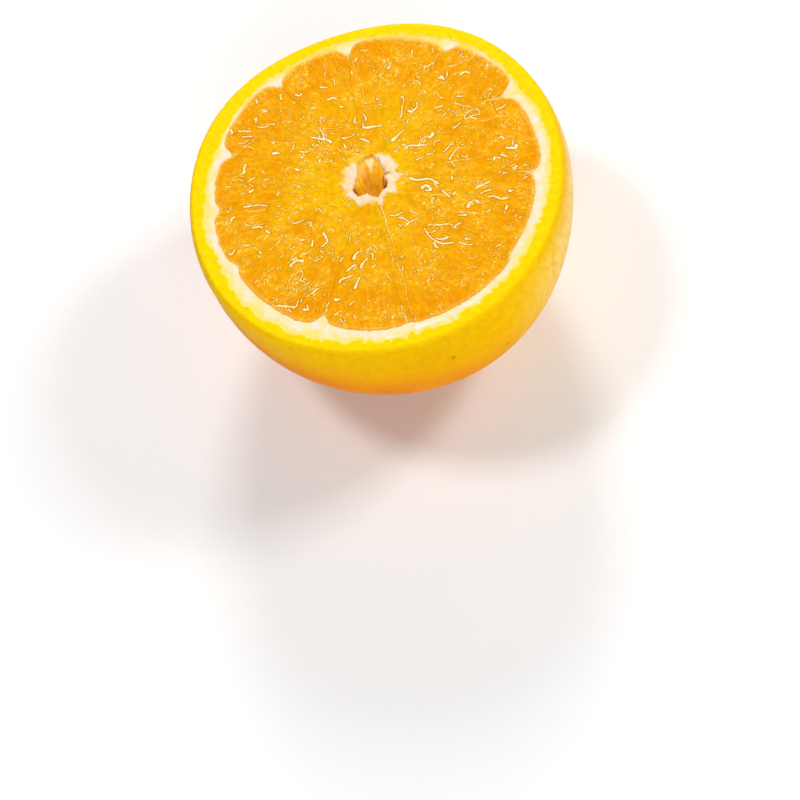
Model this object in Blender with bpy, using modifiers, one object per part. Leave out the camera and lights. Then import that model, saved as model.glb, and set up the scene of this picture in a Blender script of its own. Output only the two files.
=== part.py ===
"""Half of a round orange, cut across its segments and resting on its skin with the cut face up."""
import random
from math import atan2, cos, degrees, exp, hypot, radians, sin, sqrt, tau

import bpy

# Whole fruit, in metres: an ellipsoid of revolution, wider than it is high
FRUIT_RADIUS = 0.0380
FRUIT_HALF_HEIGHT = 0.0333
CUT_ABOVE_MIDDLE = 0.0091
FLAT_DEPTH = 0.0008

# Waves in the outline, as (waves in a turn, height, direction of a crest in degrees)
RIM_WAVES = (
    (1, 0.00050, 170),
    (2, 0.00071, 30),
    (3, 0.00028, 34),
    (4, 0.00032, 40),
    (5, 0.00013, 61),
)
BODY_WAVES = (
    (1, 0.00018, 276),
    (2, 0.00024, 28),
    (3, 0.00072, 33),
    (4, 0.00031, 37),
)

# Peel on the cut face
COLOURED_PEEL = 0.00245
RIM_ROUNDING = 0.0007

# Segments, as (direction of the membrane before it in degrees, reach of its flesh, notch at the membrane)
SEGMENTS = (
    (20.9, 0.0337, 0.0024),
    (51.2, 0.0328, 0.0012),
    (87.7, 0.0319, 0.0019),
    (116.0, 0.0328, 0.0016),
    (150.2, 0.0320, 0.0020),
    (173.5, 0.0322, 0.0009),
    (197.5, 0.0325, 0.0008),
    (236.3, 0.0318, 0.0018),
    (266.5, 0.0312, 0.0004),
    (311.0, 0.0306, 0.0003),
    (345.0, 0.0317, 0.0010),
)
FULL_NOTCH = 0.0016
NOTCH_HALF_WIDTH = 0.0013
CORNER_DEPTH = 0.0006
CORNER_LENGTH = 0.0032
FLESH_SWELL = 0.0003
MEMBRANE_GROOVE = 0.0002
GROOVE_HALF_WIDTH = 0.0006

# Juice sacs that stand out of the flesh
SACS_PER_SEGMENT = 22
SAC_HALF_LENGTH = (0.0020, 0.0042)
SAC_HALF_WIDTH = (0.0009, 0.0016)
SAC_HEIGHT = (0.00020, 0.00045)
SAC_AREA_SHARES = (0.06, 0.94)
SAC_PLACES_ACROSS = (0.06, 0.94)
SAC_LEAN = 0.25
SAC_SEED = 7
FULL_RELIEF_WIDTH = 0.0080

# Hollow core: the corners of its ragged outline, as (direction in degrees, reach)
HOLLOW_CENTRE = (-0.0016, 0.0013)
HOLLOW_CORNERS = (
    (8, 0.0034),
    (37, 0.0038),
    (54, 0.0047),
    (68, 0.0050),
    (88, 0.0045),
    (104, 0.0041),
    (127, 0.0026),
    (158, 0.0021),
    (182, 0.0027),
    (208, 0.0041),
    (231, 0.0043),
    (252, 0.0032),
    (284, 0.0046),
    (303, 0.0037),
    (317, 0.0043),
    (343, 0.0032),
    (358, 0.0042),
)
HOLLOW_DEPTH = 0.0080
HOLLOW_FLOOR_SHARE = 0.45
WALL_RINGS = (0.35, 0.7, 0.94)
CORE_PITH_REACH = 0.0054
CORE_PITH_TEETH = 0.0009

# Nominal radii of the turned profile, before it is shaped round the turn
STEPS_PER_SEGMENT = 13
HOLLOW_RADIUS = 0.0036
CORE_RADIUS = 0.0056
FLESH_RADIUS = 0.0320
FLESH_RINGS = 16
SKIN_RINGS = 11
TURN_STEPS = STEPS_PER_SEGMENT * len(SEGMENTS)

# Heights above the resting spot
MIDDLE_Z = FRUIT_HALF_HEIGHT - FLAT_DEPTH
CUT_Z = MIDDLE_Z + CUT_ABOVE_MIDDLE
FLOOR_Z = CUT_Z - HOLLOW_DEPTH

# Material numbers
PEEL = 0
PITH = 1
FLESH = 2

# Slack for comparing two lengths
TOUCHING = 0.000001


def skin_radius(height):
    """Radius of the plain fruit at a height above the resting spot."""
    share = (height - MIDDLE_Z) / FRUIT_HALF_HEIGHT
    return FRUIT_RADIUS * sqrt(max(0.0, 1.0 - share * share))


RIM_RADIUS = skin_radius(CUT_Z)
PITH_RADIUS = RIM_RADIUS - COLOURED_PEEL


def clamp(value, low=0.0, high=1.0):
    """Value held between two limits."""
    return max(low, min(high, value))


def smooth_step(share):
    """Share from 0 to 1 with a soft start and end."""
    share = clamp(share)
    return share * share * (3.0 - 2.0 * share)


def wave_sum(waves, angle):
    """Height of a set of outline waves in a direction."""
    return sum(height * cos(count * (angle - radians(crest))) for count, height, crest in waves)


def outline_offset(angle, height):
    """How far the skin stands out of the plain fruit: the rim's waves at the cut, the body's below."""
    depth_share = smooth_step((CUT_Z - height) / CUT_ABOVE_MIDDLE)
    at_rim = wave_sum(RIM_WAVES, angle)
    on_body = wave_sum(BODY_WAVES, angle)
    return at_rim + (on_body - at_rim) * depth_share


def segment_place(turn_share):
    """Segment number, share of the way across it and real direction for a share of the turn."""
    position = (turn_share % 1.0) * len(SEGMENTS)
    number = int(position) % len(SEGMENTS)
    across = position - int(position)
    start = SEGMENTS[number][0]
    end = SEGMENTS[(number + 1) % len(SEGMENTS)][0]
    if end < start:
        end += 360.0
    return number, across, radians(start + (end - start) * across)


def segment_width(number):
    """Angle that a segment takes."""
    start = SEGMENTS[number][0]
    end = SEGMENTS[(number + 1) % len(SEGMENTS)][0]
    return radians((end - start) % 360.0)


def from_membrane(number, across, radius):
    """Distance to the nearer membrane, along the arc, and the number of the segment behind it."""
    width = segment_width(number) * radius
    if across < 0.5:
        return across * width, (number - 1) % len(SEGMENTS)
    return (1.0 - across) * width, (number + 1) % len(SEGMENTS)


def flesh_reach(number, across):
    """Radius at which the flesh ends: a rounded lobe, with a notch of pith at each membrane."""
    reach = SEGMENTS[number][1]
    distance, neighbour = from_membrane(number, across, reach)
    membrane = number if across < 0.5 else neighbour
    notch = SEGMENTS[membrane][2]
    nearness = exp(-((distance / NOTCH_HALF_WIDTH) ** 2))
    shared = 0.5 * (SEGMENTS[neighbour][1] - reach)
    corner = CORNER_DEPTH * min(1.0, notch / FULL_NOTCH) * exp(-((distance / CORNER_LENGTH) ** 2))
    return reach + (shared - notch) * nearness - corner


def hollow_reach(angle):
    """Radius of the hollow's outline: straight between its corners."""
    direction = degrees(angle) % 360.0
    for index, (start, start_reach) in enumerate(HOLLOW_CORNERS):
        end, end_reach = HOLLOW_CORNERS[(index + 1) % len(HOLLOW_CORNERS)]
        share = ((direction - start) % 360.0) / ((end - start) % 360.0)
        if share <= 1.0:
            return start_reach + (end_reach - start_reach) * share
    return HOLLOW_CORNERS[0][1]


def core_reach(number, across):
    """Radius of the pith round the hollow: it runs out along each membrane."""
    distance, _ = from_membrane(number, across, CORE_PITH_REACH)
    return CORE_PITH_REACH + CORE_PITH_TEETH * exp(-((distance / GROOVE_HALF_WIDTH) ** 2))


def face_radius(nominal, number, across, angle):
    """Radius on the cut face for a nominal one, from the hollow's edge to the end of the flesh."""
    marks = (0.0, HOLLOW_RADIUS, CORE_RADIUS, FLESH_RADIUS)
    places = (0.0, hollow_reach(angle), core_reach(number, across), flesh_reach(number, across))
    for index in range(1, len(marks)):
        if nominal <= marks[index] + TOUCHING:
            share = (nominal - marks[index - 1]) / (marks[index] - marks[index - 1])
            return places[index - 1] + (places[index] - places[index - 1]) * share
    return nominal


def make_sacs():
    """Seeded juice sacs for each segment: long drops that point to the core."""
    sacs = []
    for number in range(len(SEGMENTS)):
        draw = random.Random(SAC_SEED + number)
        own = []
        for _ in range(SACS_PER_SEGMENT):
            own.append({
                "radius": FLESH_RADIUS * sqrt(draw.uniform(*SAC_AREA_SHARES)),
                "across": draw.uniform(*SAC_PLACES_ACROSS),
                "lean": draw.uniform(-SAC_LEAN, SAC_LEAN),
                "half_length": draw.uniform(*SAC_HALF_LENGTH),
                "half_width": draw.uniform(*SAC_HALF_WIDTH),
                "height": draw.uniform(*SAC_HEIGHT),
            })
        sacs.append(own)
    return sacs


def sac_relief(sacs, number, across, radius):
    """Height of the highest sac over a place in a segment."""
    width = segment_width(number)
    highest = 0.0
    for sac in sacs[number]:
        along = radius - sac["radius"]
        aside = (across - sac["across"]) * width * radius - sac["lean"] * along
        squared = (along / sac["half_length"]) ** 2 + (aside / sac["half_width"]) ** 2
        if squared < 1.0:
            highest = max(highest, sac["height"] * sqrt(1.0 - squared))
    return highest


def face_relief(sacs, number, across, nominal, radius):
    """Height of the flesh above the knife's plane, with a groove at each membrane."""
    if nominal <= CORE_RADIUS or nominal >= FLESH_RADIUS - TOUCHING:
        return 0.0
    distance, _ = from_membrane(number, across, radius)
    groove = MEMBRANE_GROOVE * exp(-((distance / GROOVE_HALF_WIDTH) ** 2))
    from_edges = min(nominal - CORE_RADIUS, FLESH_RADIUS - nominal) / CORNER_LENGTH
    swell = FLESH_SWELL * smooth_step(distance / CORNER_LENGTH) * smooth_step(from_edges)
    fade = smooth_step(distance / GROOVE_HALF_WIDTH - 0.5)
    fade *= clamp(segment_width(number) * radius / FULL_RELIEF_WIDTH)
    return swell - groove + sac_relief(sacs, number, across, radius) * fade - FLESH_SWELL


def half_profile():
    """Profile from the hollow's floor, over the cut face and down the skin to the resting spot."""
    floor_radius = HOLLOW_RADIUS * HOLLOW_FLOOR_SHARE
    points = [(0.0, FLOOR_Z), (floor_radius, FLOOR_Z)]
    for share in WALL_RINGS:
        wall_radius = floor_radius + (HOLLOW_RADIUS - floor_radius) * sqrt(share)
        points.append((wall_radius, FLOOR_Z + HOLLOW_DEPTH * share))
    points.append((HOLLOW_RADIUS, CUT_Z))
    points.append((0.5 * (HOLLOW_RADIUS + CORE_RADIUS), CUT_Z))
    for ring in range(FLESH_RINGS + 1):
        share = ring / FLESH_RINGS
        points.append((CORE_RADIUS + (FLESH_RADIUS - CORE_RADIUS) * share, CUT_Z))
    points.append((0.5 * (FLESH_RADIUS + PITH_RADIUS), CUT_Z))
    points.append((PITH_RADIUS, CUT_Z))
    points.append((RIM_RADIUS - RIM_ROUNDING, CUT_Z))
    points.append((RIM_RADIUS - 0.3 * RIM_ROUNDING, CUT_Z - 0.25 * RIM_ROUNDING))
    start = (CUT_Z - RIM_ROUNDING - MIDDLE_Z) / FRUIT_HALF_HEIGHT
    end = -MIDDLE_Z / FRUIT_HALF_HEIGHT
    start_angle = atan2(start, sqrt(1.0 - start * start))
    end_angle = atan2(end, sqrt(1.0 - end * end))
    for ring in range(SKIN_RINGS + 1):
        angle = start_angle + (end_angle - start_angle) * ring / SKIN_RINGS
        points.append((FRUIT_RADIUS * cos(angle), MIDDLE_Z + FRUIT_HALF_HEIGHT * sin(angle)))
    points.append((0.5 * points[-1][0], 0.0))
    points.append((0.0, 0.0))
    return points


def turned_mesh(name, profile):
    """Mesh of a profile turned about Z, closed where it meets the axis."""
    line = bpy.data.meshes.new(name + "_profile")
    edges = [(index, index + 1) for index in range(len(profile) - 1)]
    line.from_pydata([(radius, 0.0, height) for radius, height in profile], edges, [])
    turning = bpy.data.objects.new(name + "_turning", line)
    bpy.context.scene.collection.objects.link(turning)
    screw = turning.modifiers.new("Turn", "SCREW")
    screw.axis = "Z"
    screw.angle = tau
    screw.steps = TURN_STEPS
    screw.render_steps = TURN_STEPS
    screw.use_merge_vertices = True
    screw.merge_threshold = 0.00001
    depsgraph = bpy.context.evaluated_depsgraph_get()
    mesh = bpy.data.meshes.new_from_object(turning.evaluated_get(depsgraph))
    mesh.name = name
    bpy.data.objects.remove(turning)
    return mesh


def is_skin(radius, height):
    """Whether a point of the turned mesh belongs to the peel, cut or outside."""
    return radius > FLESH_RADIUS + TOUCHING or height < FLOOR_Z - TOUCHING


def surface_kind(radius, height):
    """Material number of a face of the turned mesh: peel, pith or flesh."""
    if radius > PITH_RADIUS or height < FLOOR_Z - TOUCHING:
        return PEEL
    if radius > FLESH_RADIUS:
        return PITH
    if radius > CORE_RADIUS or height < CUT_Z - TOUCHING:
        return FLESH
    return PITH


def shape_point(point, sacs):
    """Real place of a point of the turned mesh."""
    nominal = hypot(point.x, point.y)
    turn_share = (atan2(point.y, point.x) / tau) % 1.0
    number, across, angle = segment_place(round(turn_share * TURN_STEPS) / TURN_STEPS)
    if is_skin(nominal, point.z):
        reach = min(1.0, nominal / RIM_RADIUS)
        radius = nominal + outline_offset(angle, point.z) * reach
        return radius * cos(angle), radius * sin(angle), point.z
    radius = face_radius(nominal, number, across, angle)
    centre_share = clamp((FLESH_RADIUS - nominal) / (FLESH_RADIUS - HOLLOW_RADIUS))
    x = HOLLOW_CENTRE[0] * centre_share + radius * cos(angle)
    y = HOLLOW_CENTRE[1] * centre_share + radius * sin(angle)
    return x, y, point.z + face_relief(sacs, number, across, nominal, radius)


def make_material(name, colour, roughness):
    """Plain material of one part of the fruit."""
    material = bpy.data.materials.new(name)
    material.use_nodes = True
    shader = material.node_tree.nodes["Principled BSDF"]
    shader.inputs["Base Color"].default_value = (*colour, 1.0)
    shader.inputs["Roughness"].default_value = roughness
    shader.inputs["Metallic"].default_value = 0.0
    return material


def centre_on_origin(mesh):
    """Moves the mesh so that the middle of its bounds stands over the origin."""
    xs = [vertex.co.x for vertex in mesh.vertices]
    ys = [vertex.co.y for vertex in mesh.vertices]
    middle_x = 0.5 * (min(xs) + max(xs))
    middle_y = 0.5 * (min(ys) + max(ys))
    for vertex in mesh.vertices:
        vertex.co.x -= middle_x
        vertex.co.y -= middle_y


def make_orange_half(collection):
    """The fruit's one piece: peel, pith and flesh grown together."""
    mesh = turned_mesh("orange_half", half_profile())
    mesh.materials.append(make_material("peel", (0.97, 0.68, 0.005), 0.35))
    mesh.materials.append(make_material("pith", (0.98, 0.78, 0.36), 0.60))
    mesh.materials.append(make_material("flesh", (0.90, 0.40, 0.004), 0.25))
    for face in mesh.polygons:
        corners = [mesh.vertices[index].co for index in face.vertices]
        middle_radius = sum(hypot(corner.x, corner.y) for corner in corners) / len(corners)
        face.material_index = surface_kind(middle_radius, face.center.z)
    sacs = make_sacs()
    for vertex in mesh.vertices:
        vertex.co = shape_point(vertex.co, sacs)
    centre_on_origin(mesh)
    mesh.shade_smooth()
    mesh.set_sharp_from_angle(angle=radians(50.0))
    collection.objects.link(bpy.data.objects.new("orange_half", mesh))


def main():
    """Builds the orange half in a collection of its own."""
    for item in list(bpy.data.objects):
        bpy.data.objects.remove(item)
    collection = bpy.data.collections.new("orange_half")
    bpy.context.scene.collection.children.link(collection)
    make_orange_half(collection)


main()
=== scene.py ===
"""Looks of the orange half: segments with their juice sacs, pith, hollow core and glossy peel."""
import random
from math import cos, radians, sin, sqrt, tau

import bpy
import numpy as np
from mathutils import Matrix, Vector
from mathutils.kdtree import KDTree


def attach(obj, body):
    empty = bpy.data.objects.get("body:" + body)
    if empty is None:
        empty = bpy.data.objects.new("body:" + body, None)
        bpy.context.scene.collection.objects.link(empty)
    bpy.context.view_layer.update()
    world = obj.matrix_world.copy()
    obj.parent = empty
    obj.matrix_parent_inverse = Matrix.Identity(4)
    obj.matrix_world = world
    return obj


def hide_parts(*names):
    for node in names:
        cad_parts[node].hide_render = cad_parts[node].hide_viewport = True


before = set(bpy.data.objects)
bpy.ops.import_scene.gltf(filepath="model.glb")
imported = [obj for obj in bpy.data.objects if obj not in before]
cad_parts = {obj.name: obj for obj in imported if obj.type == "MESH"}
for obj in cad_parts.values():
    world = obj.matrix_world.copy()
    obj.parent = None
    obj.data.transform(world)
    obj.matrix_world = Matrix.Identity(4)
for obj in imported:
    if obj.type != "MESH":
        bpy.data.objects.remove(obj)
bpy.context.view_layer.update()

MM = 0.001

# Whole fruit, in metres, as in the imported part
FRUIT_RADIUS = 0.038
FRUIT_HALF_HEIGHT = 0.0333
CUT_ABOVE_MIDDLE = 0.0091
FLAT_DEPTH = 0.0008
MIDDLE_Z = FRUIT_HALF_HEIGHT - FLAT_DEPTH
CUT_Z = MIDDLE_Z + CUT_ABOVE_MIDDLE
RIM_RADIUS = FRUIT_RADIUS * sqrt(1.0 - (CUT_ABOVE_MIDDLE / FRUIT_HALF_HEIGHT) ** 2)

# Waves in the outline, as (waves in a turn, height, direction of a crest in degrees)
RIM_WAVES = ((1, 0.0005, 170), (2, 0.00071, 30), (3, 0.00028, 34), (4, 0.00032, 40), (5, 0.00013, 61))
BODY_WAVES = ((1, 0.00018, 276), (2, 0.00024, 28), (3, 0.00072, 33), (4, 0.00031, 37))

# Skin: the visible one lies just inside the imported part
SKIN_INSET = 0.00006
COLOURED_PEEL = 0.00245
PEEL_TUCK = 0.00035
PEEL_COLUMNS = 528
RIM_ROUNDING = 0.0007
GLAND_PITCH = 0.0014
GLAND_DEPTH = 0.000115
GOLDEN_ANGLE = 2.399963
# Directions in degrees: of the painted glare on the skin, and of the lit side, where the painted shade is
# weaker
GLARE_DIRECTION = -6.0
LIT_SIDE_DIRECTION = -20.0

# Small dark specks on the skin, as (direction in degrees, height, darkness)
SPECKS = ((277.0, 0.0355, 1.0), (293.8, 0.0288, 0.9), (295.2, 0.0396, 0.4), (230.0, 0.0401, 0.8))
SPECK_SIZE = 0.00016

# Reach of the pith's outer edge on the cut, in millimetres, at even steps of direction from 0 degrees
PITH_REACHES = (
    33.7, 33.8, 33.4, 34.2, 34.6, 34.4, 33.7, 33.4, 33.2, 33.0, 32.8, 32.9,
    33.3, 33.4, 33.3, 33.3, 33.5, 33.8, 34.6, 34.1, 34.6, 35.4, 35.3, 35.0,
    34.6, 34.1, 34.0, 33.7, 33.9, 33.3, 33.0, 33.1, 32.5, 32.9, 33.1, 33.3,
)
PITH_OVERLAP = 0.0006
PITH_COLUMNS = 1320
PITH_DEPTH = 0.007
PITH_UNDERLAP = 0.0002
PITH_SINK = 0.0001
PITH_TUCK = 0.00014
PITH_TUCK_WIDTH = 0.0006
SCALLOP_HEIGHT = 0.0012
SCALLOPED_DIRECTION = 262.0

# The side of the pith that the coloured peel tints yellow
PITH_YELLOW_DIRECTION = 80.0
PITH_YELLOW_HALF_ANGLE = 78.0

# Segments, as (direction of the membrane before it in degrees, reach of its flesh, notch at the membrane)
SEGMENTS = (
    (20.9, 0.0337, 0.0024),
    (51.2, 0.0328, 0.0012),
    (87.7, 0.0322, 0.0019),
    (116.0, 0.0328, 0.0016),
    (150.2, 0.0320, 0.0020),
    (173.5, 0.0326, 0.0009),
    (197.5, 0.0325, 0.0008),
    (236.3, 0.0318, 0.0018),
    (266.5, 0.0316, 0.0004),
    (311.0, 0.0306, 0.0003),
    (345.0, 0.0317, 0.0010),
)
NOTCH_HALF_WIDTH = 0.0013
FULL_NOTCH = 0.0016
CORNER_DEPTH = 0.0006
CORNER_LENGTH = 0.0032
SEGMENT_ROWS = 189
SEGMENT_DEPTH = 0.008
SEGMENT_OVERLAP = 0.00003
MESH_STEP = 0.00014
MESH_STEP_RADIUS = 0.031
FLESH_SINK = 0.00012

# Closed underside of a segment, as (depth, share of the plan's size)
WEDGE_RINGS = ((0.0006, 1.0), (0.4 * SEGMENT_DEPTH, 0.985), (SEGMENT_DEPTH, 0.9))

# Juice sacs on the cut, closely packed in rows across a segment
SAC_FIRST_RADIUS = 0.0066
SAC_LAST_RADIUS = 0.0335
SAC_ROW_STEP = 0.0036
SAC_SPACING = 0.0021
SAC_STRETCH = 2.4
SAC_WANDER_ACROSS = 0.38
SAC_WANDER_OUTWARDS = 0.0016
SAC_WARP = 0.0007
SAC_WARP_SIZE = 0.003
SAC_HEIGHT = 0.00004
SAC_LIFT = 0.0001
SAC_EDGE = 0.0004
SAC_WALL_WIDTH = 0.00022

# Edges of the flesh: soft shoulder and tinted strip at the pith, level strip along the membranes
SHOULDER_WIDTH = 0.00035
TINT_WIDTH = 0.0009
SIDE_WIDTH = 0.0006
SIDE_HEIGHT = 0.00005

# Unevenness, as (height, size, seed, layers)
FLESH_GRAIN = ((0.00009, 0.0045, 16, 3), (0.00004, 0.0014, 17, 3), (0.000014, 0.0004, 19, 2))
PITH_GRAIN = ((0.00008, 0.0011, 47, 4), (0.00006, 0.004, 48, 3))
CORE_GRAIN = ((0.0003, 0.0014, 91, 4),)

# Each membrane's looks, as (length that is pale from the peel inwards, share seen further in)
MEMBRANE_LOOKS = (
    (0.0050, 0.0),
    (0.0015, 0.0),
    (0.0060, 0.3),
    (0.0030, 0.1),
    (0.0028, 0.2),
    (0.0010, 0.0),
    (0.0010, 0.0),
    (0.0022, 0.0),
    (0.0080, 0.55),
    (0.0012, 0.0),
    (0.0040, 0.0),
)
MEMBRANE_WIDTH = 0.0003
MEMBRANE_OVERLAP = 0.0004
MEMBRANE_SINK = 0.00055
MEMBRANE_RISE = 0.0005
MEMBRANE_STATIONS = np.linspace(-0.01, 1.0, 150)

# Cross-section of a membrane, as (share of its half width to the side, height over its top)
MEMBRANE_SECTION = np.array((
    (-1.0, -SEGMENT_DEPTH), (-1.0, -0.00016), (-0.4, 0.0),
    (0.4, 0.0), (1.0, -0.00016), (1.0, -SEGMENT_DEPTH),
))

# Hollow core, with its corners as (direction in degrees, reach)
HOLLOW_CENTRE = (-0.0016, 0.0013)
HOLLOW_CORNERS = (
    (2, 0.0034), (15, 0.0036), (37, 0.0038), (53, 0.0047), (68, 0.0050), (88, 0.0045),
    (102, 0.0042), (112, 0.0038), (127, 0.0026), (158, 0.0021), (182, 0.0027), (199, 0.0034),
    (207, 0.0041), (216, 0.0040), (231, 0.0043), (252, 0.0032), (282, 0.0046), (290, 0.0045),
    (303, 0.0037), (315, 0.0043), (329, 0.0041), (343, 0.0032), (355, 0.0034), (359, 0.0047),
)
HOLLOW_DEPTH = 0.0078
HOLLOW_FLOOR_SHARE = 0.45
LOBE_HEIGHT = 0.0005
CORE_COLUMNS = 480
CORE_OVERLAP = 0.0003
WALL_ROUGHNESS = 0.00034
FLOOR_MOUND = 0.0006

# Tongue of pith that hangs into the hollow
REMNANT_DIRECTION = 75.0
REMNANT_HALF_ANGLE = 12.5
REMNANT_DEPTH = 0.0042

# Painted shade in nooks of the hollow, as (x, y, size)
SHADED_NOOKS = ((0.0014, -0.0007, 0.00115), (-0.0047, -0.0004, 0.0011), (0.0012, 0.0012, 0.00045))

# Pale pith round the hollow, with the corners of its outer edge as (direction in degrees, reach)
CORE_PITH_REACH = 0.0054
CORE_PITH_TEETH = 0.0009
TOOTH_HALF_WIDTH = 0.0006
CORE_PITH_CORNERS = (
    (9, 0.0063), (22, 0.0060), (37, 0.0062), (57, 0.0057), (64, 0.0045), (90, 0.0037),
    (108, 0.0037), (116, 0.0048), (137, 0.0049), (156, 0.0046), (172, 0.0048), (185, 0.0054),
    (201, 0.0050), (208, 0.0058), (225, 0.0053), (240, 0.0063), (260, 0.0054), (273, 0.0055),
    (280, 0.0071), (288, 0.0055), (302, 0.0053), (314, 0.0068), (332, 0.0053), (349, 0.0068),
    (358, 0.0052),
)

# Nominal radii that the frame's rings run between
HOLLOW_RADIUS = 0.0036
CORE_RADIUS = 0.0056
FLESH_RADIUS = 0.032

# Strands: lowest and highest ridge, share of the table's width, painted shadow line beside them, soft edge
STRAND_HEIGHTS = (0.00002, 0.00008)
STRAND_SLIMNESS = 0.85
STRAND_SHADOW_WIDTH = 0.00016
RIDGE_EDGE = 0.0001

# Torn bits of sac wall scattered in groups, pale partly as real wall and partly as painted glints, with the
# least and most of each random measure
GROUPS_PER_RADIAN = 28 / 0.57
GROUP_REACH = 0.0322
GROUP_AREA = (0.045, 0.99)
GROUP_SPREAD = (0.0005, 0.0016)
GROUP_PALENESS = (0.26, 0.8)
GROUP_SIZES = (2, 3, 4, 5, 6, 8)
BIT_LENGTH = 0.00008
BIT_ADDED_LENGTH = 0.001
BIT_HALF_WIDTH = (0.00008, 0.00014)
BIT_HEIGHT = (0.00002, 0.00006)

# Painted white highlights of glossy wet streaks on the pith, in the same units as the strands below
PITH_HIGHLIGHTS = (
    (70, 30, 15, -5, -326, 20, -325, 50, -323),
    (50, 12, 20, 80, -312, 110, -307, 150, -296),
    (60, 25, 15, -65, -330, -35, -333),
    (60, 20, 20, -175, -290, -160, -300),
    (50, 20, 15, -332, -50, -334, -30),
    (50, 20, 15, 315, 86, 309, 102),
)
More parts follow.
